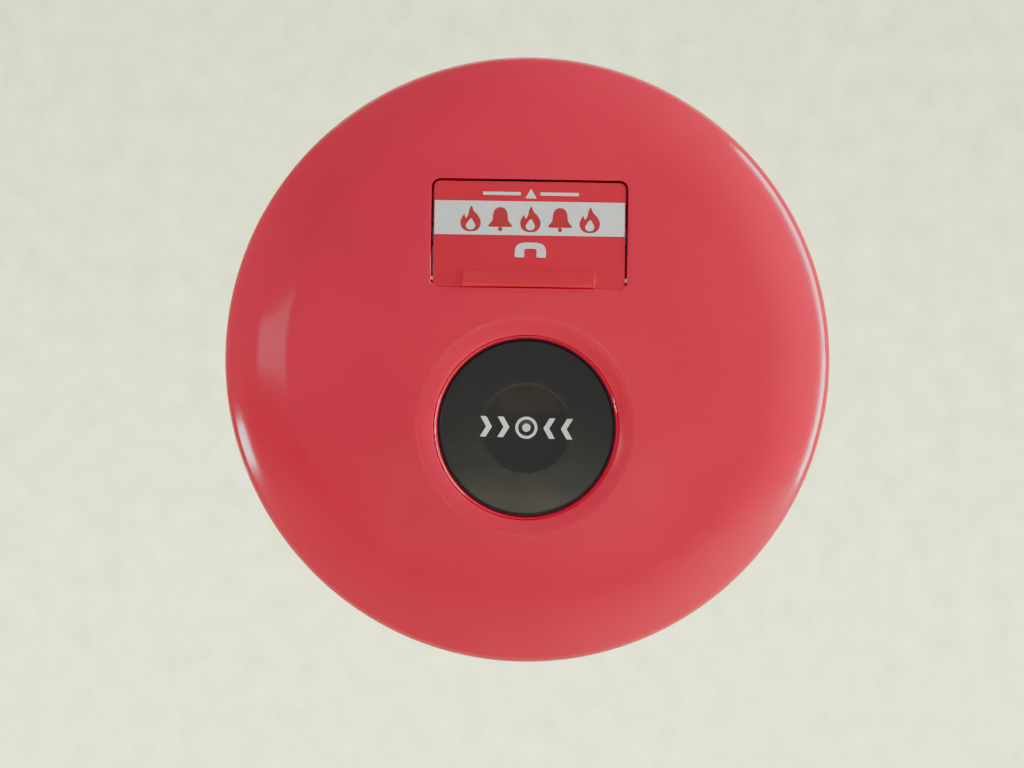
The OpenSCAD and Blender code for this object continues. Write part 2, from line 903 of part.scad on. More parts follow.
module hold_pawl() {
    nose = [plunger_r + free_gap, plate_y] - pawl_p;
    color(steel) on_wall()
        translate([pawl_p[0], pawl_p[1], pawl_z[0]])
            difference() {
                linear_extrude(height = pawl_z[1] - pawl_z[0]) {
                    circle(r = 2.8);
                    polygon([[-2.4, 1.2], [2, 2], nose + [2.3, 1.6], nose + [0, 1.2], nose + [0, -1.5]]);
                    polygon([[0.5, -2.4], [9.2, -0.5], [9.2, 2.6], [1, 2.6]]);
                }
                translate([0, 0, -1])
                    cylinder(r = pawl_pin_r + run_gap, h = 4);
            }
}

module pawl_pin() {
    end = frame_z + sheet + 0.2;
    color(steel) on_wall()
        translate([pawl_p[0], pawl_p[1], 0]) {
            translate([0, 0, end])
                cylinder(r = pawl_pin_r, h = chassis_t - end + 0.1);
            translate([0, 0, chassis_t])
                cylinder(r = 2.3, h = 0.7);
            translate([0, 0, pawl_z[0] - 0.5])
                cylinder(r = 2, h = 0.4);
        }
}

module pawl_spring() {
    low = frame_z + sheet + 0.4;
    path = concat([[10.5, -5, low]], coil(1.9, low, pawl_z[0] - 0.8, 4), [[6.5, 4.5, pawl_z[0] - 0.8]]);
    color(spring_steel) on_wall()
        translate([pawl_p[0], pawl_p[1], 0])
            tube_along(path, 0.2, n = 6);
}

// ---- switch frame and switches ----

module mechanism_frame() {
    low = plate_y - frame_half_y;
    high = plate_y + frame_half_y;
    color(steel) on_wall() difference() {
        union() {
            block([-frame_half_x, low, frame_z], [frame_half_x, high, frame_z + sheet]);
            both_sides() {
                block([frame_half_x - sheet, low, frame_z], [frame_half_x, high, 0]);
                block([frame_half_x - sheet, low, -sheet], [foot_end, high, 0]);
                block([tab_x, plate_y - 6.6, switch_top - 5.8],
                    [tab_x + sheet, plate_y + 6.6, frame_z + 0.1]);
            }
        }
        translate([0, plate_y, frame_z - 1])
            cylinder(r = plunger_r + free_gap, h = 4);
        for (side = [-1, 1], dy = [-foot_dy, foot_dy])
            translate([side * foot_x, plate_y + dy, -3])
                cylinder(r = thread_r, h = 4);
        for (dy = [-switch_hole_dy, switch_hole_dy])
            x_rod(1.15, frame_half_x + 2, plate_y + dy, switch_hole_z);
    }
}

module frame_screws() {
    color(steel) on_wall()
        for (side = [-1, 1], dy = [-foot_dy, foot_dy])
            translate([side * foot_x, plate_y + dy, chassis_t])
                screw(screw_r, chassis_t + 3, 2.8, 1.8);
}

module switch_body() {
    low = [switch_x - switch_w / 2, plate_y - switch_l / 2, switch_top - switch_h];
    high = [switch_x + switch_w / 2, plate_y + switch_l / 2, switch_top];
    difference() {
        union() {
            block(low, high);
            for (x = [low[0], high[0] - ear_wide])
                block([x, lever_y - ear_half, switch_top - 0.1],
                    [x + ear_wide, lever_y + ear_half, lever_z + trunnion_r + 0.4]);
        }
        translate([low[0] - 1, lever_y, lever_z])
            rotate([0, 90, 0])
                cylinder(r = trunnion_r + run_gap, h = switch_w + 2);
        for (dy = [-switch_hole_dy, switch_hole_dy])
            translate([low[0] - 1, plate_y + dy, switch_hole_z])
                rotate([0, 90, 0])
                    cylinder(r = 1.15, h = switch_w + 2);
        translate([switch_x, button_y, switch_top - 2.4])
            cylinder(r = button_r + run_gap, h = 4);
    }
}

module switch_body_left() {
    color(black) on_wall()
        mirror([1, 0, 0])
            switch_body();
}

module switch_body_right() {
    color(black) on_wall()
        switch_body();
}

module switch_lever() {
    wide = switch_w - 2;
    translate([switch_x, lever_y, lever_z]) {
        rotate([lever_rise, 0, 0]) {
            block([-wide / 2, -0.2, -lever_t / 2], [wide / 2, lever_len, lever_t / 2]);
            translate([-wide / 2, 0, 0])
                rotate([0, 90, 0])
                    cylinder(r = 0.6, h = wide);
        }
        translate([-switch_w / 2 + 0.1, 0, 0])
            rotate([0, 90, 0])
                cylinder(r = trunnion_r, h = switch_w - 0.2);
    }
}

module switch_lever_left() {
    color(spring_steel) on_wall()
        mirror([1, 0, 0])
            switch_lever();
}

module switch_lever_right() {
    color(spring_steel) on_wall()
        switch_lever();
}

module switch_button() {
    translate([switch_x, button_y, switch_top - 1.2])
        cylinder(r = button_r, h = button_top - switch_top + 1.2);
}

module switch_button_left() {
    color([0.75, 0.15, 0.15]) on_wall()
        mirror([1, 0, 0])
            switch_button();
}

module switch_button_right() {
    color([0.75, 0.15, 0.15]) on_wall()
        switch_button();
}

module switch_pins() {
    low = switch_top - switch_h;
    color(brass) on_wall()
        both_sides()
            for (dy = [-5.2, 0, 5.2])
                block([switch_x - 0.6, plate_y + dy - 0.25, low - 3.2],
                    [switch_x + 0.6, plate_y + dy + 0.25, low]);
}

module switch_screws() {
    color(steel) on_wall()
        both_sides()
            for (dy = [-switch_hole_dy, switch_hole_dy])
                translate([tab_x + sheet, plate_y + dy, switch_hole_z])
                    rotate([0, 90, 0])
                        screw(1.1, sheet + switch_w - 0.6, 1.9, 1.3);
}

// ---- lamp ----

module lamp_holder() {
    color(ivory) on_wall()
        translate([lamp_p[0], lamp_p[1], chassis_t])
            difference() {
                union() {
                    cylinder(r = 4, h = 2);
                    cylinder(r = 3.4, h = 3.6);
                }
                translate([0, 0, 2])
                    cylinder(r = lamp_r + run_gap, h = 3);
                for (side = [-1, 1])
                    translate([side * 1.27, 0, -1])
                        cylinder(r = 0.8, h = 4);
            }
}

module response_lamp() {
    color([0.75, 0.12, 0.10]) on_wall()
        translate([lamp_p[0], lamp_p[1], 0]) {
            translate([0, 0, lamp_base])
                cylinder(r = lamp_r, h = lamp_top - lamp_r - lamp_base);
            translate([0, 0, lamp_top - lamp_r])
                intersection() {
                    sphere(r = lamp_r);
                    translate([0, 0, -0.05])
                        cylinder(r = lamp_r + 1, h = lamp_r + 1);
                }
        }
}

// ---- rear housing and terminals ----

module rear_housing() {
    half = housing_half_x;
    inset = [housing_wall, housing_wall];
    color(black) on_wall() difference() {
        union() {
            difference() {
                translate([0, 0, housing_z])
                    linear_extrude(height = housing_depth)
                        round_rect([-half, housing_low], [half, housing_high], 3);
                translate([0, 0, housing_z + housing_wall])
                    linear_extrude(height = housing_depth)
                        round_rect([-half, housing_low] + inset, [half, housing_high] - inset, 1);
            }
            for (side = [-1, 1], y = boss_y)
                translate([side * boss_x, y, -12])
                    cylinder(r = 3.2, h = 12);
        }
        for (side = [-1, 1], y = boss_y)
            translate([side * boss_x, y, -10])
                cylinder(r = thread_r, h = 12);
        for (i = [0:terminal_n - 1])
            translate([terminal_x(i), lead_exit_y, housing_z - 1])
                hull() {
                    cylinder(r = lead_hole_r, h = housing_wall + 2);
                    translate([0, 1.4, 0])
                        cylinder(r = lead_hole_r, h = housing_wall + 2);
                }
    }
}

module housing_screws() {
    color(steel) on_wall()
        for (side = [-1, 1], y = boss_y)
            translate([side * boss_x, y, chassis_t])
                screw(screw_r, chassis_t + 8, 2.8, 1.8);
}

function terminal_x(i) = (i - (terminal_n - 1) / 2) * terminal_pitch;

module terminal_base() {
    end = terminal_n * terminal_pitch / 2 + 0.6;
    color(black) on_wall() difference() {
        union() {
            block([-end, terminal_y - terminal_half_y, terminal_floor],
                [end, terminal_y + terminal_half_y, housing_z]);
            for (i = [0:terminal_n])
                translate([(i - terminal_n / 2) * terminal_pitch, 0, 0])
                    block([-0.6, terminal_y - terminal_half_y, barrier_z],
                        [0.6, terminal_y + terminal_half_y, terminal_floor + 0.1]);
        }
        for (i = [0:terminal_n - 1])
            translate([terminal_x(i), terminal_y, terminal_floor - 1])
                cylinder(r = 1.55, h = 5);
    }
}

module terminal_clamps() {
    color(brass) on_wall()
        for (i = [0:terminal_n - 1])
            translate([terminal_x(i), terminal_y, terminal_floor - 0.8])
                difference() {
                    block([-2.8, -3.2, 0], [2.8, 3.2, 0.8]);
                    translate([0, 0, -1])
                        cylinder(r = 1.6, h = 3);
                }
}

module terminal_screws() {
    color(steel) on_wall()
        for (i = [0:terminal_n - 1])
            translate([terminal_x(i), terminal_y, terminal_floor - 0.8])
                rotate([180, 0, 0])
                    screw(1.5, 4.4, 2.5, 1.9);
}

// the last stretch of a lead: out through the housing and round to its clamp
function lead_tail(i) = [
    [terminal_x(i), lead_exit_y + 2.4, housing_z + housing_wall + 1],
    [terminal_x(i), lead_exit_y + 0.4, housing_z + housing_wall + 0.2],
    [terminal_x(i), lead_exit_y - 0.2, housing_z - 2.5],
    [terminal_x(i), lead_exit_y - 1.6, terminal_floor - 0.7],
    [terminal_x(i), terminal_y + 5.5, terminal_floor - 0.7],
    [terminal_x(i), terminal_y + 3.2, terminal_floor - 0.7]
];

module lamp_leads() {
    floor_z = housing_z + 3;
    color([0.75, 0.10, 0.10]) on_wall()
        for (side = [-1, 1]) {
            x = lamp_p[0] + side * 1.27;
            out = terminal_x(side < 0 ? 2 : 3);
            tube_along(smooth(concat([
                [x, lamp_p[1], lamp_base - 0.2],
                [x, lamp_p[1], -2],
                [x, 1.5, -8],
                [out, 3, -16],
                [out, 0, -23],
                [out, -6, floor_z],
                [out, -14, floor_z]
            ], lead_tail(side < 0 ? 2 : 3))), lead_r, [1, 0, 0]);
        }
}

module switch_leads() {
    pin_z = switch_top - switch_h - 3.26;
    color([0.90, 0.75, 0.15]) on_wall()
        for (side = [-1, 1])
            tube_along(smooth(concat([
                [side * switch_x, plate_y + 5.2, pin_z],
                [side * switch_x, plate_y + 5.2, pin_z - 0.4],
                [side * (switch_x + 0.3), plate_y + 4.4, housing_z + 2.9],
                [side * (switch_x + 2.2), plate_y + 1, housing_z + 2.8]
            ], lead_tail(side < 0 ? 1 : 4))), lead_r, [1, 0, 0]);
}

module jack_leads() {
    floor_z = housing_z + 3;
    tail_end = -23.6;
    color([0.20, 0.35, 0.70]) on_wall() {
        tube_along(smooth(concat([
            [jack_x, jack_y + 4.7, tail_end],
            [jack_x, jack_y + 4.7, tail_end - 0.6],
            [jack_x - 2, jack_y + 4, floor_z],
            [-17, 24, floor_z],
            [-19, 12, floor_z],
            [-19, -8, floor_z]
        ], lead_tail(0))), lead_r, [1, 0, 0]);
        tube_along(smooth(concat([
            [jack_x, jack_y - 4.7, tail_end],
            [jack_x, jack_y - 4.7, tail_end - 0.6],
            [jack_x + 2, jack_y - 6, floor_z],
            [8, 18, floor_z],
            [18, 10, floor_z],
            [19, -8, floor_z]
        ], lead_tail(5))), lead_r, [1, 0, 0]);
    }
}

front_cover();
chassis_plate();
panel_posts();
cover_screws();
panel_screws();
jack_door();
door_hinge_pin();
door_spring();
door_spring_rivet();
latch_hook();
latch_pin();
latch_spring();
jack_panel();
jack_body();
jack_bushing();
jack_nut();
jack_washer();
jack_springs();
reset_slide();
reset_knob();
reset_spring();
slide_rivets();
push_plate();
plunger();
plunger_guide();
return_spring();
plunger_cam();
plunger_clip();
hold_pawl();
pawl_pin();
pawl_spring();
mechanism_frame();
frame_screws();
switch_body_left();
switch_body_right();
switch_lever_left();
switch_lever_right();
switch_button_left();
switch_button_right();
switch_pins();
switch_screws();
lamp_holder();
response_lamp();
rear_housing();
housing_screws();
terminal_base();
terminal_screws();
terminal_clamps();
lamp_leads();
switch_leads();
jack_leads();
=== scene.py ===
import json
import math

import bmesh
import bpy
from mathutils import Matrix, Vector
from mathutils.geometry import delaunay_2d_cdt


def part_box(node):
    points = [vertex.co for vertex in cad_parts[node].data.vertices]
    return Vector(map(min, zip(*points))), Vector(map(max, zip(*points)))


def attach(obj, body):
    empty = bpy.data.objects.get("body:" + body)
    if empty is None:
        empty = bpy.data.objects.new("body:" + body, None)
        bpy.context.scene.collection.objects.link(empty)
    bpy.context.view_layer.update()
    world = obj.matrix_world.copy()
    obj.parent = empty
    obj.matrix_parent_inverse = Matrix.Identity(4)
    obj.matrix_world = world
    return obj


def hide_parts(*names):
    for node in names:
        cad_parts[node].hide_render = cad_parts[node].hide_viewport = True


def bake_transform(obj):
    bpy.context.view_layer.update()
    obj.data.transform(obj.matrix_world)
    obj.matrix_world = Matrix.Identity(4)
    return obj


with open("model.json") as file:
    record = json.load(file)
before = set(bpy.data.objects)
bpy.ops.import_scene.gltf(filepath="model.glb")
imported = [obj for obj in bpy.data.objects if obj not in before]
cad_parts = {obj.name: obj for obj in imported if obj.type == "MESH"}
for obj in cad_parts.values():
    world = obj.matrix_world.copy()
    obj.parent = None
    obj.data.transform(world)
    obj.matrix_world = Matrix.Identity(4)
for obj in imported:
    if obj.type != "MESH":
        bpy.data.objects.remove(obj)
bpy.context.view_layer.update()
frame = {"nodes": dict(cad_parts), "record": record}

MM = 0.001

# ---------------------------------------------------------------- sizes, in millimetres, from the frame

def mm_box(node):
    low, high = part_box(node)
    return Vector(low) * 1000, Vector(high) * 1000


cover_low, cover_high = mm_box("front_cover")
door_low, door_high = mm_box("jack_door")
plate_low, plate_high = mm_box("push_plate")
COVER_R = cover_high.x
COVER_H = round(-cover_low.y + 0.04, 1)
DOME_R = 600.0
DOME_Z = COVER_H - DOME_R
SHOULDER_R = 29.8
EDGE_R = 4.0
SHOULDER_SLOPE = math.radians(38)
DOME_SLOPE = math.asin(
    (COVER_R - EDGE_R - (SHOULDER_R - EDGE_R) * math.sin(SHOULDER_SLOPE)) / (DOME_R - SHOULDER_R)
)
SHOULDER_C = (
    (DOME_R - SHOULDER_R) * math.sin(DOME_SLOPE),
    DOME_Z + (DOME_R - SHOULDER_R) * math.cos(DOME_SLOPE),
)
EDGE_C = (
    SHOULDER_C[0] + (SHOULDER_R - EDGE_R) * math.sin(SHOULDER_SLOPE),
    SHOULDER_C[1] + (SHOULDER_R - EDGE_R) * math.cos(SHOULDER_SLOPE),
)
DOOR_GAP = 0.45
DOOR_HALF_W = door_high.x + DOOR_GAP
DOOR_BOTTOM = door_low.z + DOOR_GAP
DOOR_TOP = door_high.z + DOOR_GAP
CORNER_R = 2.0
BEVEL = (1.5, 1.2)
EDGE_ROUND = 0.32
DOOR_SINK = 0.2
PLATE_Y = (plate_low.z + plate_high.z) / 2
PLATE_FACE = -plate_low.y
PLATE_R = (plate_high.x - plate_low.x) / 2 - 1.8
LIP_R = PLATE_R + 0.35
LIP_Z = PLATE_FACE - 2.7
FILLET_R = 2.0
ROLL_R = LIP_R + 4.05
ROLL_OUT = math.radians(12)
PANEL_TOP = -mm_box("jack_panel")[0].y
TILT = math.asin(-PLATE_Y / DOME_R)


def face_point(x, y, z):
    """A point of the face frame (x right, y up, z out of the wall, mm) in the row frame, in metres."""
    return Vector((x * MM, -z * MM, y * MM))


def dome_height(r):
    return DOME_Z + math.sqrt(DOME_R * DOME_R - r * r)


# ---------------------------------------------------------------- mesh helpers

class Surface:
    """Points in the face frame and the faces on them."""

    def __init__(self):
        self.points = []
        self.faces = []
        self.slots = []

    def add(self, x, y, z):
        self.points.append((x, y, z))
        return len(self.points) - 1

    def face(self, ids, slot=0):
        self.faces.append(tuple(ids))
        self.slots.append(slot)

    def bridge(self, a, b, closed=True, slot=0):
        """Quads between two rows of points, seen from outside with a to the left of b."""
        n = len(a)
        for i in range(n if closed else n - 1):
            j = (i + 1) % n
            self.face((a[i], a[j], b[j], b[i]), slot)

    def ring(self, points):
        return [self.add(*p) for p in points]


def make_object(name, surface, materials, smooth_angle=35, merge=0.004, body=None):
    mesh = bpy.data.meshes.new(name)
    mesh.from_pydata([face_point(*p) for p in surface.points], [], surface.faces)
    for m in materials:
        mesh.materials.append(m)
    for polygon, slot in zip(mesh.polygons, surface.slots):
        polygon.material_index = slot
    bm = bmesh.new()
    bm.from_mesh(mesh)
    bmesh.ops.remove_doubles(bm, verts=bm.verts, dist=merge * MM)
    bmesh.ops.recalc_face_normals(bm, faces=bm.faces)
    bm.to_mesh(mesh)
    bm.free()
    for polygon in mesh.polygons:
        polygon.use_smooth = True
    mesh.set_sharp_from_angle(angle=math.radians(smooth_angle))
    obj = bpy.data.objects.new(name, mesh)
    bpy.context.scene.collection.objects.link(obj)
    if body:
        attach(obj, body)
    return obj


def revolve(surface, profile, centre, n):
    """Turns a profile of (radius, z) about the face's z axis through centre. Returns its rings."""
    rings = []
    for r, z in profile:
        if r < 1e-6:
            rings.append([surface.add(centre[0], centre[1], z)] * n)
            continue
        ring = []
        for k in range(n):
            a = 2 * math.pi * k / n
            ring.append(surface.add(centre[0] + r * math.cos(a), centre[1] + r * math.sin(a), z))
        rings.append(ring)
    for a, b in zip(rings, rings[1:]):
        for k in range(n):
            j = (k + 1) % n
            ids = list(dict.fromkeys((a[k], a[j], b[j], b[k])))
            if len(ids) > 2:
                surface.face(ids)
    return rings


def arc_points(cx, cz, r, a0, a1, n):
    """Points of an arc with its angle measured from straight up toward +x."""
    return [
        (cx + r * math.sin(a0 + (a1 - a0) * i / n), cz + r * math.cos(a0 + (a1 - a0) * i / n))
        for i in range(n + 1)
    ]


def opening_loop(grow, corner_steps=8, side_step=1.0):
    """The door opening's outline, grown outward, counter-clockwise, with the same count of points for any grow."""
    half = DOOR_HALF_W + grow
    low = DOOR_BOTTOM - grow
    high = DOOR_TOP + grow
    r = CORNER_R + grow
    bx, by = BEVEL
    loop = []

    def side(a, b, steps):
        for i in range(steps):
            t = i / steps
            loop.append((a[0] + (b[0] - a[0]) * t, a[1] + (b[1] - a[1]) * t))

    wide = int(2 * DOOR_HALF_W / side_step)
    tall = int((DOOR_TOP - DOOR_BOTTOM) / side_step)
    side((-half + bx, low), (half - bx, low), wide)
    side((half - bx, low), (half, low + by), 3)
    side((half, low + by), (half, high - r), tall)
    for i in range(corner_steps):
        a = math.pi / 2 * i / corner_steps
        loop.append((half - r + r * math.cos(a), high - r + r * math.sin(a)))
    side((half - r, high), (-half + r, high), wide)
    for i in range(corner_steps):
        a = math.pi / 2 * (1 + i / corner_steps)
        loop.append((-half + r + r * math.cos(a), high - r + r * math.sin(a)))
    side((-half, high - r), (-half, low + by), tall)
    side((-half, low + by), (-half + bx, low), 3)
    return loop


def inside_loop(p, loop):
    hit = False
    x, y = p
    for (x1, y1), (x2, y2) in zip(loop, loop[1:] + loop[:1]):
        if (y1 > y) != (y2 > y) and x < (x2 - x1) * (y - y1) / (y2 - y1) + x1:
            hit = not hit
    return hit


def fill(surface, outer, holes, height, spacing, slot=0):
    """Triangles between the outer loop and the holes (rows of point ids), over a grid of points at height(x, y)."""
    flat = []
    edges = []
    ids = []
    for loop in [outer] + holes:
        start = len(flat)
        for k, i in enumerate(loop):
            flat.append(Vector(surface.points[i][:2]))
            ids.append(i)
            edges.append((start + k, start + (k + 1) % len(loop)))
    borders = [[tuple(surface.points[i][:2]) for i in loop] for loop in [outer] + holes]
    xs = [p[0] for p in borders[0]]
    ys = [p[1] for p in borders[0]]
    grid = {}
    for b in borders:
        for p in b:
            grid.setdefault((int(p[0] // spacing), int(p[1] // spacing)), []).append(p)
    row = 0
    y = min(ys)
    while y < max(ys):
        x = min(xs) + (row % 2) * spacing / 2
        while x < max(xs):
            cell = (int(x // spacing), int(y // spacing))
            near = any(
                math.dist((x, y), q) < 0.55 * spacing
                for i in (-1, 0, 1)
                for j in (-1, 0, 1)
                for q in grid.get((cell[0] + i, cell[1] + j), ())
            )
            in_hole = any(inside_loop((x, y), b) for b in borders[1:])
            if not near and inside_loop((x, y), borders[0]) and not in_hole:
                flat.append(Vector((x, y)))
                ids.append(surface.add(x, y, height(x, y)))
            x += spacing
        y += spacing * 0.866
        row += 1
    verts, _, faces, origin, _, _ = delaunay_2d_cdt(flat, edges, [], 0, 1e-5)
    for f in faces:
        c = sum((verts[i] for i in f), Vector((0, 0))) / len(f)
        if inside_loop(c, borders[0]) and not any(inside_loop(c, b) for b in borders[1:]):
            surface.face([ids[origin[i][0]] for i in f], slot)


def keep_cad_faces(surface, node, keep, slot=0):
    """Copies the CAD node's faces whose corners pass keep(points) into the surface."""
    mesh = frame["nodes"][node].data
    index = {}
    for polygon in mesh.polygons:
        corners = [mesh.vertices[i].co for i in polygon.vertices]
        points = [(c.x / MM, c.z / MM, -c.y / MM) for c in corners]
        if keep(points):
            ids = []
            for i, p in zip(polygon.vertices, points):
                if i not in index:
                    index[i] = surface.add(*p)
                ids.append(index[i])
            surface.face(ids, slot)


# ---------------------------------------------------------------- materials

class Graph:
    """A material's node tree with short ways to add and join nodes."""

    def __init__(self, name, edge=0.00018):
        self.edge = edge
        self.material = bpy.data.materials.new(name)
        self.material.use_nodes = True
        self.tree = self.material.node_tree
        self.tree.nodes.clear()
        self.out = self.node("ShaderNodeOutputMaterial")
        self.shader = self.node("ShaderNodeBsdfPrincipled")
        self.join(self.shader, "BSDF", self.out, "Surface")
        self.coords = self.node("ShaderNodeTexCoord")

    def node(self, kind, **values):
        n = self.tree.nodes.new(kind)
        for key, value in values.items():
            if hasattr(n, key):
                setattr(n, key, value)
            else:
                n.inputs[key.replace("_", " ")].default_value = value
        return n

    def join(self, a, out, b, into):
        self.tree.links.new(a.outputs[out], b.inputs[into])

    def noise(self, scale, detail=3.0, rough=0.5, stretch=None, seed=0.0):
        n = self.node("ShaderNodeTexNoise", noise_dimensions="3D")
        n.inputs["Scale"].default_value = scale
        n.inputs["Detail"].default_value = detail
        n.inputs["Roughness"].default_value = rough
        m = self.node("ShaderNodeMapping")
        m.inputs["Location"].default_value = (seed, seed * 0.7, seed * 1.3)
        if stretch:
            m.inputs["Scale"].default_value = stretch
        self.join(self.coords, "Object", m, "Vector")
        self.join(m, "Vector", n, "Vector")
        return n

    def ramp(self, source, out, stops):
        r = self.node("ShaderNodeValToRGB")
        elements = r.color_ramp.elements
        while len(elements) < len(stops):
            elements.new(0.5)
        for e, (at, value) in zip(elements, stops):
            e.position = at
            e.color = value if len(value) == 4 else (*value, 1)
        self.join(source, out, r, "Fac")
        return r

    def map(self, source, out, low, high, from_low=0.0, from_high=1.0):
        m = self.node("ShaderNodeMapRange")
        m.inputs["From Min"].default_value = from_low
        m.inputs["From Max"].default_value = from_high
        m.inputs["To Min"].default_value = low
        m.inputs["To Max"].default_value = high
        self.join(source, out, m, "Value")
        return m

    def math(self, op, a, b=None, b_value=0.5):
        m = self.node("ShaderNodeMath", operation=op)
        self.join(*a, m, 0)
        if b:
            self.join(*b, m, 1)
        else:
            m.inputs[1].default_value = b_value
        return m

    def mix(self, fac, a, b):
        """Mixes two colours, each a colour or (node, output)."""
        m = self.node("ShaderNodeMix", data_type="RGBA")
        if isinstance(fac, tuple):
            self.join(*fac, m, "Factor")
        else:
            m.inputs["Factor"].default_value = fac
        for socket, value in ((6, a), (7, b)):
            if isinstance(value[0], (int, float)):
                m.inputs[socket].default_value = (*value[:3], 1)
            else:
                self.tree.links.new(value[0].outputs[value[1]], m.inputs[socket])
        return m

    def rounding(self):
        """Edges catch light as if broken by a small radius."""
        r = self.node("ShaderNodeBevel", samples=4)
        r.inputs["Radius"].default_value = self.edge
        return r

    def bump(self, source, out, distance, strength=1.0, after=None):
        b = self.node("ShaderNodeBump")
        b.inputs["Strength"].default_value = strength
        b.inputs["Distance"].default_value = distance
        self.join(source, out, b, "Height")
        self.join(after or self.rounding(), "Normal", b, "Normal")
        self.join(b, "Normal", self.shader, "Normal")
        return b


def srgb(r, g, b):
    def line(v):
        v /= 255
        return v / 12.92 if v <= 0.04045 else ((v + 0.055) / 1.055) ** 2.4
    return (line(r), line(g), line(b))


def moulded_plastic(name, color, rough=0.12, coat=0.35, marks=True, seed=0.0, peel=0.000006, specular=0.5):
    """Glossy moulded plastic: faint colour drift, long ripples, fine hairline scratches and settled dust."""
    g = Graph(name)
    drift = g.noise(22, 2, seed=seed)
    dark = tuple(c * 0.94 for c in color)
    lite = tuple(min(1, c * 1.05) for c in color)
    base = g.ramp(drift, "Fac", [(0.3, dark), (0.7, lite)])
    scratch = g.noise(420, 2, 0.6, stretch=(1.0, 1.0, 0.03), seed=seed + 3)
    scratch_b = g.noise(380, 2, 0.6, stretch=(0.035, 1.0, 1.0), seed=seed + 9)
    lines = g.math("MAXIMUM", (scratch, "Fac"), (scratch_b, "Fac"))
    line_mask = g.ramp(lines, "Value", [(0.70, (0, 0, 0)), (0.80, (1, 1, 1))])
    dust = g.noise(2600, 2, 0.7, seed=seed + 5)
    dust_mask = g.ramp(dust, "Fac", [(0.69, (0, 0, 0)), (0.76, (1, 1, 1))])
    dusty = g.mix((dust_mask, "Color"), (base, "Color"), tuple(0.6 * c + 0.22 for c in color))
    dusty_fac = g.mix(0.12 if marks else 0.04, (base, "Color"), (dusty, 2))
    g.tree.links.new(dusty_fac.outputs[2], g.shader.inputs["Base Color"])
    haze = g.noise(60, 3, seed=seed + 1)
    rough_base = g.map(haze, "Fac", rough * 0.75, rough * 1.35)
    rough_marked = g.math("MULTIPLY_ADD", (line_mask, "Color"), b_value=0.10 if marks else 0.03)
    g.join(rough_base, "Result", rough_marked, 2)
    g.join(rough_marked, "Value", g.shader, "Roughness")
    ripple = g.noise(95, 2, seed=seed + 2)
    b1 = g.bump(ripple, "Fac", peel * 6, 0.5)
    fine = g.noise(900, 2, seed=seed + 4)
    b2 = g.bump(fine, "Fac", peel, 0.6, after=b1)
    g.bump(line_mask, "Color", -peel * 0.5, 0.35 if marks else 0.1, after=b2)
    g.shader.inputs["Coat Weight"].default_value = coat
    g.shader.inputs["Coat Roughness"].default_value = 0.04
    g.shader.inputs["Specular IOR Level"].default_value = specular
    return g


def matte_plastic(name, color, rough=0.5, grain=1500, depth=0.00001, seed=0.0):
    g = Graph(name)
    drift = g.noise(60, 3, seed=seed)
    dark = tuple(c * 0.85 for c in color)
    lite = tuple(min(1, c * 1.12) for c in color)
    base = g.ramp(drift, "Fac", [(0.3, dark), (0.75, lite)])
    g.join(base, "Color", g.shader, "Base Color")
    haze = g.noise(180, 4, seed=seed + 1)
    g.join(g.map(haze, "Fac", rough * 0.8, min(1, rough * 1.25)), "Result", g.shader, "Roughness")
    texture = g.noise(grain, 3, 0.6, seed=seed + 2)
    g.bump(texture, "Fac", depth, 0.6)
    return g


def metal(name, color, rough=0.3, brushed=None, seed=0.0, tarnish=(0.5, 0.42, 0.3), spots=0.25, aniso=0.0):
    """Plated or bare metal: brushed along one axis if asked, with cloudy roughness and small dull spots."""
    g = Graph(name)
    cloud = g.noise(130, 4, 0.6, seed=seed)
    spot = g.ramp(cloud, "Fac", [(0.55, (0, 0, 0)), (0.8, (1, 1, 1))])
    weight = g.map(spot, "Color", 0.0, spots)
    dull = tuple(c * t for c, t in zip(color, [0.5 + 0.5 * t for t in tarnish]))
    base = g.mix((weight, "Result"), color, dull)
    g.tree.links.new(base.outputs[2], g.shader.inputs["Base Color"])
    g.shader.inputs["Metallic"].default_value = 1.0
    streak = g.noise(700 if brushed else 260, 3, 0.6, stretch=brushed, seed=seed + 2)
    g.join(g.map(streak, "Fac", rough * 0.7, rough * 1.4), "Result", g.shader, "Roughness")
    g.bump(streak, "Fac", 0.000004, 0.5)
    g.shader.inputs["Anisotropic"].default_value = aniso
    return g


def spangled_zinc(name, seed=0.0):
    """Zinc-plated sheet with a faint crystal pattern and a bluish-yellow cast."""
    g = Graph(name)
    cells = g.node("ShaderNodeTexVoronoi", feature="F1")
    cells.inputs["Scale"].default_value = 210
    g.join(g.coords, "Object", cells, "Vector")
    split = g.node("ShaderNodeSeparateColor")
    g.join(cells, "Color", split, "Color")
    tone = g.ramp(split, "Red", [(0.0, (0.50, 0.51, 0.52)), (0.5, (0.60, 0.60, 0.58)), (1.0, (0.68, 0.68, 0.66))])
    g.join(tone, "Color", g.shader, "Base Color")
    g.shader.inputs["Metallic"].default_value = 1.0
    g.join(g.map(split, "Green", 0.26, 0.46), "Result", g.shader, "Roughness")
    roll = g.noise(500, 3, 0.6, stretch=(1, 1, 0.06), seed=seed)
    g.bump(roll, "Fac", 0.000005, 0.5)
    return g


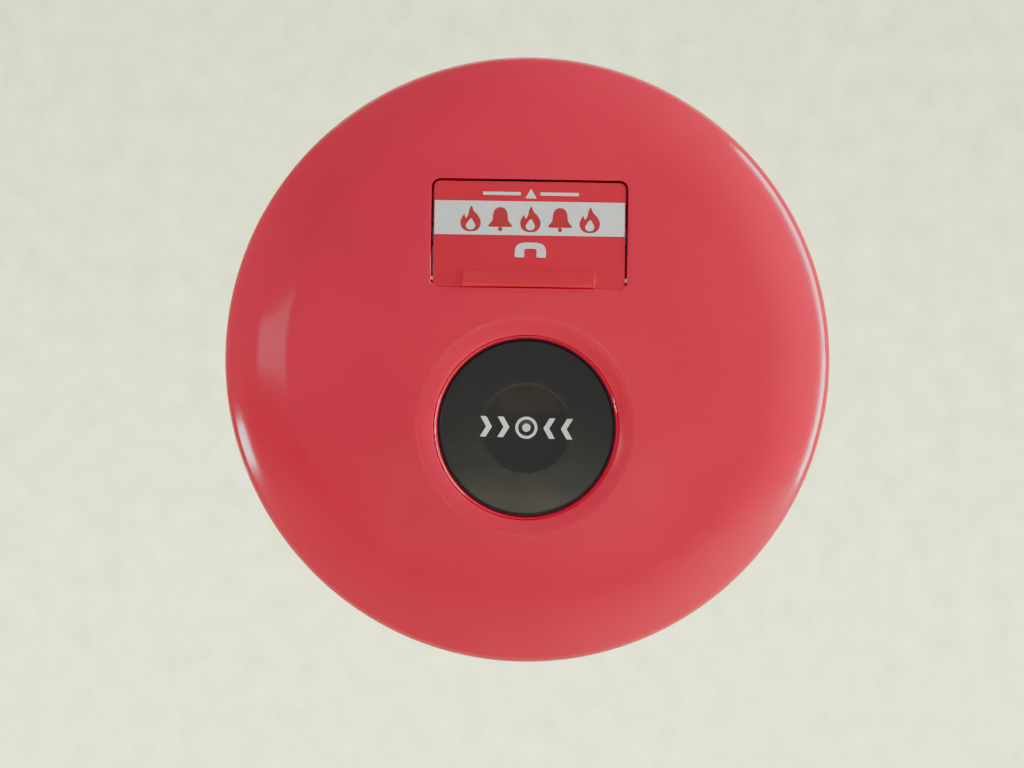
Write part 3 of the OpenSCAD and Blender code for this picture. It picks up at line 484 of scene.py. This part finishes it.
def printed_ink(name, color, rough=0.42, seed=0.0, worn=0.12):
    """Screen-printed ink: slightly uneven, with pinholes."""
    g = Graph(name)
    drift = g.noise(300, 4, 0.6, seed=seed)
    base = g.ramp(drift, "Fac", [(0.25, tuple(c * (1 - worn) for c in color)), (0.7, color)])
    g.join(base, "Color", g.shader, "Base Color")
    g.join(g.map(drift, "Fac", rough * 0.85, rough * 1.2), "Result", g.shader, "Roughness")
    weave = g.noise(4200, 2, seed=seed + 2)
    g.bump(weave, "Fac", 0.000004, 0.5)
    g.shader.inputs["Coat Weight"].default_value = 0.25
    g.shader.inputs["Coat Roughness"].default_value = 0.15
    return g


# ---------------------------------------------------------------- the finishes

RED = srgb(226, 4, 60)
# The door's red is a darker copy of the cover's red: painted shade for the door's flat face, which catches less
# light than the dome around it.
DOOR_RED_SHADED = srgb(216, 8, 50)
cover_red = moulded_plastic("cover_red", RED, rough=0.13, coat=0.12, seed=1.0, specular=0.42)
door_red = moulded_plastic("door_red", DOOR_RED_SHADED, rough=0.15, coat=0.10, seed=7.0, specular=0.40)
smoked = moulded_plastic("smoked", (0.012, 0.0115, 0.009), rough=0.10, coat=0.1, seed=4.0, specular=0.4)
zinc = spangled_zinc("zinc")
screw_steel = metal("screw_steel", (0.62, 0.62, 0.60), rough=0.3, seed=2.0)
pin_steel = metal("pin_steel", (0.56, 0.56, 0.57), rough=0.22, seed=3.0)
spring_steel = metal("spring_steel", (0.42, 0.42, 0.43), rough=0.25, seed=4.0)
nickel = metal("nickel", (0.70, 0.66, 0.58), rough=0.24, seed=5.0, tarnish=(0.9, 0.8, 0.6))
brass = metal("brass", (0.72, 0.52, 0.22), rough=0.27, seed=6.0, tarnish=(0.5, 0.45, 0.4), spots=0.5)
terminal_steel = metal("terminal_steel", (0.66, 0.63, 0.56), rough=0.28, seed=8.0)
black_plastic = matte_plastic("black_plastic", (0.020, 0.020, 0.022), rough=0.42, seed=1.0)
ivory_plastic = matte_plastic("ivory_plastic", (0.72, 0.67, 0.52), rough=0.38, seed=2.0)
knob_amber = matte_plastic("knob_amber", (0.75, 0.36, 0.03), rough=0.3, seed=3.0)
button_red = matte_plastic("button_red", (0.45, 0.02, 0.02), rough=0.35, seed=4.0)
lamp_red = moulded_plastic("lamp_red", (0.35, 0.008, 0.006), rough=0.08, coat=0.4, marks=False, seed=2.0)
lamp_red.shader.inputs["Transmission Weight"].default_value = 0.45
lead_red = matte_plastic("lead_red", (0.42, 0.02, 0.02), rough=0.45, grain=2600, seed=5.0)
lead_yellow = matte_plastic("lead_yellow", (0.68, 0.46, 0.03), rough=0.45, grain=2600, seed=6.0)
lead_blue = matte_plastic("lead_blue", (0.03, 0.08, 0.32), rough=0.45, grain=2600, seed=7.0)

FINISH = {
    "cover_red": cover_red, "door_red": door_red, "smoked": smoked, "zinc_steel": zinc,
    "screw_steel": screw_steel, "pin_steel": pin_steel, "spring_steel": spring_steel, "nickel": nickel,
    "brass": brass, "terminal_steel": terminal_steel, "black_plastic": black_plastic,
    "ivory_plastic": ivory_plastic, "knob_amber": knob_amber, "button_red": button_red,
    "lamp_red": lamp_red, "lead_red": lead_red, "lead_yellow": lead_yellow, "lead_blue": lead_blue,
}
SLOT_OF = {s["node"]: s["material_slot"] for s in frame["record"]["subparts"]}

for name, node in frame["nodes"].items():
    node.data.materials.clear()
    node.data.materials.append(FINISH[SLOT_OF[name]].material)

# ---------------------------------------------------------------- the cover

DOME_END = DOME_R * math.sin(DOME_SLOPE)
SHOULDER_END = EDGE_C[0] + EDGE_R * math.sin(SHOULDER_SLOPE)
WELL_Z = PANEL_TOP - 2.0
ROLL_START = 28.6
FILLET_START = LIP_R + FILLET_R * (1 - math.sin(ROLL_OUT))
SIN_TILT, COS_TILT = math.sin(TILT), math.cos(TILT)


def cover_height(r):
    if r <= DOME_END:
        return dome_height(r)
    if r <= SHOULDER_END:
        return SHOULDER_C[1] + math.sqrt(SHOULDER_R ** 2 - (r - SHOULDER_C[0]) ** 2)
    return EDGE_C[1] + math.sqrt(max(0.0, EDGE_R ** 2 - (r - EDGE_C[0]) ** 2))


def collar_profile(steps=26, fillet_steps=14):
    """(distance from the collar's axis, height above the dome's crown there), from the dome in to the lip."""
    s, z = ROLL_START, math.sqrt(DOME_R ** 2 - ROLL_START ** 2) - DOME_R
    rows = [(s, z)]
    width = ROLL_START - FILLET_START
    for i in range(steps):
        t = (i + 0.5) / steps
        t = t * t * (3 - 2 * t)
        slope = (1 - t) * math.asin(s / DOME_R) - t * ROLL_OUT
        s -= width / steps
        z += math.tan(slope) * width / steps
        rows.append((s, z))
    centre = (s + FILLET_R * math.sin(ROLL_OUT), z - FILLET_R * math.cos(ROLL_OUT))
    for i in range(1, fillet_steps + 1):
        a = ROLL_OUT + (math.pi / 2 - ROLL_OUT) * i / fillet_steps
        rows.append((centre[0] - FILLET_R * math.sin(a), centre[1] + FILLET_R * math.cos(a)))
    return rows


def collar_point(s, z, a):
    x = s * math.cos(a)
    y = s * math.sin(a)
    return (x, y * COS_TILT - (DOME_R + z) * SIN_TILT, DOME_Z + (DOME_R + z) * COS_TILT + y * SIN_TILT)


def collar_place(p):
    """(distance from the collar's axis, height above the dome's crown there) of a point."""
    x, y, z = p
    z -= DOME_Z
    return math.hypot(x, y * COS_TILT + z * SIN_TILT), z * COS_TILT - y * SIN_TILT - DOME_R


COLLAR = collar_profile()
cover = Surface()
rim = [(56.0, dome_height(56.0)), (57.0, dome_height(57.0))]
rim += arc_points(*SHOULDER_C, SHOULDER_R, DOME_SLOPE, SHOULDER_SLOPE, 24)
rim += arc_points(*EDGE_C, EDGE_R, SHOULDER_SLOPE, math.pi / 2, 14)[1:]
rim += [(COVER_R, 3.0), (COVER_R, 0.0)]
outer = revolve(cover, rim, (0, 0), 360)[0]

rows = [cover.ring(collar_point(s, z, 2 * math.pi * k / 360) for k in range(360)) for s, z in COLLAR]
s_lip = COLLAR[-1][0]
lip_row = []
for k in range(360):
    a = 2 * math.pi * k / 360
    z = (LIP_Z - DOME_Z - s_lip * math.sin(a) * SIN_TILT) / COS_TILT - DOME_R
    lip_row.append(cover.add(*collar_point(s_lip, z, a)))
rows.append(lip_row)
for row, inner in zip(rows, rows[1:]):
    cover.bridge(row, inner)

edge_rows = []
for k in range(6):
    a = math.pi / 2 * k / 5
    loop = opening_loop(EDGE_ROUND * (1 - math.sin(a)))
    drop = EDGE_ROUND * (1 - math.cos(a))
    edge_rows.append([cover.add(x, y, dome_height(math.hypot(x, y)) - drop) for x, y in loop])
edge_rows.append([cover.add(x, y, WELL_Z) for x, y in opening_loop(0)])
for row, inner in zip(edge_rows, edge_rows[1:]):
    cover.bridge(row, inner)
fill(cover, outer, [edge_rows[0], rows[0]], lambda x, y: dome_height(math.hypot(x, y)), 1.5)


def on_cover_outside(p):
    x, y, z = p
    r = math.hypot(x, y)
    if r > COVER_R - 0.02 or abs(z - cover_height(min(r, COVER_R))) < 0.1:
        return True
    s, high = collar_place(p)
    if s < ROLL_R + 0.2 and z > LIP_Z - 0.02:
        return s < LIP_R + 0.06 or high > -1.0 - (ROLL_R - s) * 0.1
    half = DOOR_HALF_W
    return (
        z > WELL_Z - 0.02 and DOOR_BOTTOM - 0.02 < y < DOOR_TOP + 0.02 and abs(x) < half + 0.02
        and not inside_loop((x, y), INNER_OPENING)
    )


INNER_OPENING = opening_loop(-0.03)
keep_cad_faces(cover, "front_cover", lambda points: not all(on_cover_outside(p) for p in points))
cover_object = make_object("cover_shell", cover, [cover_red.material], smooth_angle=32, body="base")
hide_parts("front_cover")

# ---------------------------------------------------------------- the push plate

DISH_R = 10.5
DISH_DEPTH = 0.7
DISH_LIP = (9.7, 11.3)


def dish_table(step=0.05):
    """Depth of the dish against the distance from its centre, from its lip in to the middle."""
    table = []
    z = 0.0
    n = round(DISH_LIP[1] / step)
    for i in range(n, -1, -1):
        s = i * step
        table.append(z)
        slope = 2 * DISH_DEPTH * min(s, DISH_R) / DISH_R ** 2
        if s > DISH_LIP[0]:
            t = (DISH_LIP[1] - s) / (DISH_LIP[1] - DISH_LIP[0])
            slope *= t * t * (3 - 2 * t)
        z -= slope * step
    return table[::-1], step


DISH, DISH_STEP = dish_table()


def plate_height(s):
    k = s / DISH_STEP
    i = int(k)
    if i + 1 >= len(DISH):
        return PLATE_FACE
    return PLATE_FACE + DISH[i] + (DISH[i + 1] - DISH[i]) * (k - i)


plate = Surface()
plate_rows = [(i * 0.35, plate_height(i * 0.35)) for i in range(0, 37)]
plate_rows += [(r, PLATE_FACE) for r in (14, 16, 18, 20, 20.9)]
plate_rows += arc_points(PLATE_R - 0.5, PLATE_FACE - 0.5, 0.5, 0, math.pi / 2, 7)
plate_rows += [(PLATE_R, LIP_Z - 0.4)]
revolve(plate, plate_rows, (0, PLATE_Y), 256)


def on_plate_outside(p):
    x, y, z = p
    s = math.hypot(x, y - PLATE_Y)
    return z > LIP_Z - 0.42 and (s > PLATE_R - 0.5 or z > PLATE_FACE - 1.0)


keep_cad_faces(plate, "push_plate", lambda points: not (
    all(on_plate_outside(p) for p in points) and max(p[2] for p in points) > LIP_Z - 0.35
))
plate_object = make_object("plate_shell", plate, [smoked.material], smooth_angle=32, body="push")
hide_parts("push_plate")

# ---------------------------------------------------------------- printed marks

ink_white = printed_ink("ink_white", srgb(241, 243, 237), seed=1.0)
ink_red = printed_ink("ink_red", srgb(190, 22, 34), seed=2.0)


def door_skin(x, y):
    return dome_height(math.hypot(x, y)) - DOOR_SINK


def plate_skin(x, y):
    return plate_height(math.hypot(x, y - PLATE_Y))


def resample(loop, step):
    out = []
    for (x1, y1), (x2, y2) in zip(loop, loop[1:] + loop[:1]):
        n = max(1, round(math.dist((x1, y1), (x2, y2)) / step))
        out += [(x1 + (x2 - x1) * i / n, y1 + (y2 - y1) * i / n) for i in range(n)]
    return out


def soft_loop(points, steps=5):
    """A closed curve through the points."""
    out = []
    n = len(points)
    for i in range(n):
        a, b, c, d = (points[(i + k - 1) % n] for k in range(4))
        for k in range(steps):
            t = k / steps
            out.append(tuple(
                0.5 * (2 * q + (r - p) * t + (2 * p - 5 * q + 4 * r - u) * t * t + (3 * q - p - 3 * r + u) * t ** 3)
                for p, q, r, u in zip(a, b, c, d)
            ))
    return out


def moved(loop, x, y, w, h=None, turn=0.0):
    h = w if h is None else h
    c, s = math.cos(turn), math.sin(turn)
    return [(x + w * px * c - h * py * s, y + w * px * s + h * py * c) for px, py in loop]


def circle(r, n=40):
    return [(r * math.cos(2 * math.pi * k / n), r * math.sin(2 * math.pi * k / n)) for k in range(n)]


def printed(name, shapes, skin, body, ink, lift, step=0.7):
    """A thin printed film that follows skin(x, y). shapes are (outline, [holes])."""
    film = Surface()
    for outline, holes in shapes:
        rows = []
        for loop in [outline] + holes:
            loop = resample(loop, step)
            top = [film.add(x, y, skin(x, y) + lift) for x, y in loop]
            low = [film.add(x, y, skin(x, y) - 0.04) for x, y in loop]
            film.bridge(low, top)
            rows.append(top)
        fill(film, rows[0], rows[1:], lambda x, y: skin(x, y) + lift, step)
    return make_object(name, film, [ink.material], merge=0.0005, body=body)


FLAME = soft_loop([
    (0.04, 1.0), (0.13, 0.80), (0.30, 0.62), (0.41, 0.38), (0.34, 0.12), (0.14, 0.0), (-0.14, 0.0),
    (-0.34, 0.12), (-0.41, 0.36), (-0.33, 0.58), (-0.25, 0.66), (-0.19, 0.52), (-0.10, 0.66), (-0.06, 0.86),
])
FLAME_CORE = soft_loop([
    (0.02, 0.50), (0.12, 0.36), (0.18, 0.22), (0.10, 0.09), (-0.08, 0.08), (-0.18, 0.20), (-0.12, 0.34),
])
BELL = soft_loop([
    (0.0, 0.96), (0.17, 0.90), (0.27, 0.72), (0.30, 0.46), (0.44, 0.26), (0.42, 0.20), (0.0, 0.19),
    (-0.42, 0.20), (-0.44, 0.26), (-0.30, 0.46), (-0.27, 0.72), (-0.17, 0.90),
])
HANDSET = soft_loop([
    (-0.50, 0.02), (-0.47, 0.66), (-0.30, 0.94), (0.0, 1.0), (0.30, 0.94), (0.47, 0.66), (0.50, 0.02),
    (0.44, -0.06), (0.24, -0.06), (0.20, 0.04), (0.20, 0.48), (0.08, 0.56), (-0.08, 0.56), (-0.20, 0.48),
    (-0.20, 0.04), (-0.24, -0.06), (-0.44, -0.06),
], 4)
CHEVRON = [(0.35, 0.5), (0.0, 0.0), (0.35, -0.5), (0.02, -0.5), (-0.33, 0.0), (0.02, 0.5)]

BAND_HALF = door_high.x - 0.25
BAND_LOW, BAND_HIGH = 30.5, 38.8
band = [(-BAND_HALF, BAND_LOW), (BAND_HALF, BAND_LOW), (BAND_HALF, BAND_HIGH), (-BAND_HALF, BAND_HIGH)]
printed("door_band", [(band, [])], door_skin, "door", ink_white, 0.02, 1.2)
signs = []
for k, x in enumerate((-14.5, -7.2, 0.2, 7.5, 14.8)):
    if k % 2:
        signs.append((moved(BELL, x, 31.2, 6.6, 6.4), []))
        signs.append((moved(circle(0.085), x, 31.9, 6.4), []))
    else:
        signs.append((moved(FLAME, x, 31.3, 6.2, 6.3), [moved(FLAME_CORE, x, 31.3, 6.2, 6.3)]))
printed("door_signs", signs, door_skin, "door", ink_red, 0.035, 0.45)
triangle = [(-1.1, 39.6), (1.6, 39.6), (0.25, 41.9)]
bar = [(-0.5, -0.5), (0.5, -0.5), (0.5, 0.5), (-0.5, 0.5)]
printed("door_marks", [
    (triangle, []),
    (moved(bar, -6.9, 40.7, 9.2, 0.75), []),
    (moved(bar, 7.3, 40.7, 9.4, 0.75), []),
    (moved(HANDSET, 0.3, 25.3, 7.6, 3.4), []),
], door_skin, "door", ink_white, 0.02, 0.45)
TURN = math.radians(-1.1)
press = [
    (moved(circle(2.7, 56), 0, PLATE_Y, 1), [moved(circle(2.05, 48), 0, PLATE_Y, 1)]),
    (moved(circle(1.0, 32), 0, PLATE_Y, 1), []),
]
for side in (-1, 1):
    for away in (5.6, 9.9):
        place = (side * away * math.cos(TURN), PLATE_Y + side * away * math.sin(TURN))
        press.append((moved(CHEVRON, *place, side * 4.2, 5.0, TURN), []))
printed("plate_marks", press, plate_skin, "push", ink_white, 0.02, 0.4)

# ---------------------------------------------------------------- fine coil springs

COIL_STEPS = 40
WIRE_SIDES = 12


def coil_spring(node, axis, turns, wire, fixed_low):
    """A round-wire coil in the box of the CAD node's plain one."""
    low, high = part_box(node)
    a = (low[0] / MM, low[2] / MM, -high[1] / MM)
    b = (high[0] / MM, high[2] / MM, -low[1] / MM)
    across = [i for i in (0, 1, 2) if i != axis]
    middle = [(a[i] + b[i]) / 2 for i in range(3)]
    radius = (b[across[0]] - a[across[0]]) / 2 - wire
    first, last = a[axis] + wire, b[axis] - wire
    steps = turns * COIL_STEPS
    surface = Surface()
    rows = []
    for i in range(steps + 1):
        turn = 2 * math.pi * turns * i / steps
        share = min(1, max(0, (i / steps * turns - 0.5) / (turns - 1)))
        rise = first + (last - first) * share
        out = (math.cos(turn), math.sin(turn))
        ring = []
        for k in range(WIRE_SIDES):
            angle = 2 * math.pi * k / WIRE_SIDES
            reach = radius + wire * math.cos(angle)
            p = list(middle)
            p[across[0]] += reach * out[0]
            p[across[1]] += reach * out[1]
            p[axis] = rise + wire * math.sin(angle)
            ring.append(surface.add(*p))
        rows.append(ring)
    for i in range(steps):
        surface.bridge(rows[i], rows[i + 1])
    surface.face(rows[0])
    surface.face(rows[-1][::-1])
    spring = make_object(node + "_coil", surface, [spring_steel.material], merge=0.0001)
    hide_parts(node)
    ends = [list(middle), list(middle)]
    ends[0][axis], ends[1][axis] = (first, last) if fixed_low else (last, first)
    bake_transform(spring)
    return spring


coil_spring("return_spring", 2, 4, 0.4, True)
coil_spring("reset_spring", 1, 7, 0.2, False)

# ---------------------------------------------------------------- the room, the lights and the camera

def area_light(name, place, aim, size, power, color=(1, 1, 1), spread=180):
    data = bpy.data.lights.new(name, "AREA")
    data.shape = "RECTANGLE"
    data.size, data.size_y = size
    data.energy = power
    data.color = color
    data.spread = math.radians(spread)
    obj = bpy.data.objects.new(name, data)
    bpy.context.scene.collection.objects.link(obj)
    obj.location = place
    obj.rotation_euler = (Vector(aim) - Vector(place)).to_track_quat("-Z", "Y").to_euler()
    return obj


def stage_plane(name, corners, material):
    mesh = bpy.data.meshes.new(name)
    mesh.from_pydata(corners, [], [(0, 1, 2, 3)])
    mesh.materials.append(material)
    obj = bpy.data.objects.new(name, mesh)
    bpy.context.scene.collection.objects.link(obj)
    return obj


paper = matte_plastic("paper", srgb(224, 229, 178), rough=0.8, grain=300, depth=0.0002)
floor_paper = matte_plastic("floor_paper", srgb(224, 224, 212), rough=0.8, grain=300, depth=0.0002)
WALL_Y, FLOOR_Z, ROOM = 1.7, -0.5, 4
stage_plane(
    "backdrop",
    [(-ROOM, WALL_Y, FLOOR_Z), (ROOM, WALL_Y, FLOOR_Z), (ROOM, WALL_Y, ROOM), (-ROOM, WALL_Y, ROOM)],
    paper.material,
)
stage_plane(
    "floor",
    [(-ROOM, -ROOM, FLOOR_Z), (ROOM, -ROOM, FLOOR_Z), (ROOM, WALL_Y, FLOOR_Z), (-ROOM, WALL_Y, FLOOR_Z)],
    floor_paper.material,
)

scene = bpy.context.scene
world = bpy.data.worlds.new("room")
world.use_nodes = True
background = world.node_tree.nodes["Background"]
background.inputs["Color"].default_value = (0.80, 0.82, 0.86, 1)
background.inputs["Strength"].default_value = 0.84
scene.world = world


def rim_card(name, angle, away, depth, length, span, power, color):
    """A lit card that faces the object from the side, its length along the circle about the camera's axis."""
    a = math.radians(angle)
    obj = area_light(name, (0, 0, 0), (0, -1, 0), (length, span), power, color)
    place = Vector((away * math.cos(a), depth, away * math.sin(a)))
    z = place.normalized()
    x = Vector((-math.sin(a), 0, math.cos(a)))
    y = z.cross(x)
    obj.matrix_world = Matrix.Translation(place) @ Matrix((x, y, z)).transposed().to_4x4()
    return obj


rim_card("window_up", 25, 1.3, -0.17, 1.0, 0.26, 14, (1.0, 0.99, 0.97))
rim_card("window_mid", -18, 1.3, -0.17, 1.0, 0.26, 21, (1.0, 0.99, 0.97))
rim_card("window_low", -60, 1.3, -0.20, 1.0, 0.30, 36, (1.0, 0.99, 0.97))
rim_card("window_under", -100, 1.3, -0.25, 1.3, 0.30, 60, (1.0, 0.97, 0.95))
rim_card("window_left", -140, 1.3, -0.30, 1.3, 0.30, 30, (1.0, 0.97, 0.95))
area_light("left_room", (-1.05, -1.5, 0.06), (0, 0, 0), (0.9, 0.26), 1.3, (1.0, 0.97, 0.96))
area_light("low_card", (0.0, -1.5, -0.265), (0, 0, -0.04), (0.54, 0.18), 0.17, (1.0, 0.66, 0.42))
area_light("plate_card", (0.01, -1.5, -0.075), (0, 0, -0.017), (0.12, 0.018), 0.03, (1.0, 0.95, 0.62))
area_light("wall_wash_top", (0.0, WALL_Y - 0.65, 1.5), (0, WALL_Y, 0.1), (2.6, 0.4), 9, (1.0, 1.0, 0.985))
area_light("wall_wash_low", (0.0, WALL_Y - 0.6, -0.46), (0, WALL_Y, 0.25), (2.6, 0.2), 40, (1.0, 1.0, 0.985))

camera_data = bpy.data.cameras.new("camera")
camera = bpy.data.objects.new("camera", camera_data)
scene.collection.objects.link(camera)
scene.camera = camera
DISTANCE = 1.2
SENSOR = 36
IMAGE_W = 1024
PIXELS_PER_METRE = 4030
ROLL = math.radians(0.9)
camera_data.sensor_width = SENSOR
camera_data.lens = SENSOR * (PIXELS_PER_METRE * DISTANCE) / IMAGE_W
level = Matrix.Rotation(math.radians(90), 3, "X")
camera.rotation_euler = (level @ Matrix.Rotation(ROLL, 3, "Z")).to_euler()
camera.location = (-0.0037, -DISTANCE - 0.005, -0.0061)
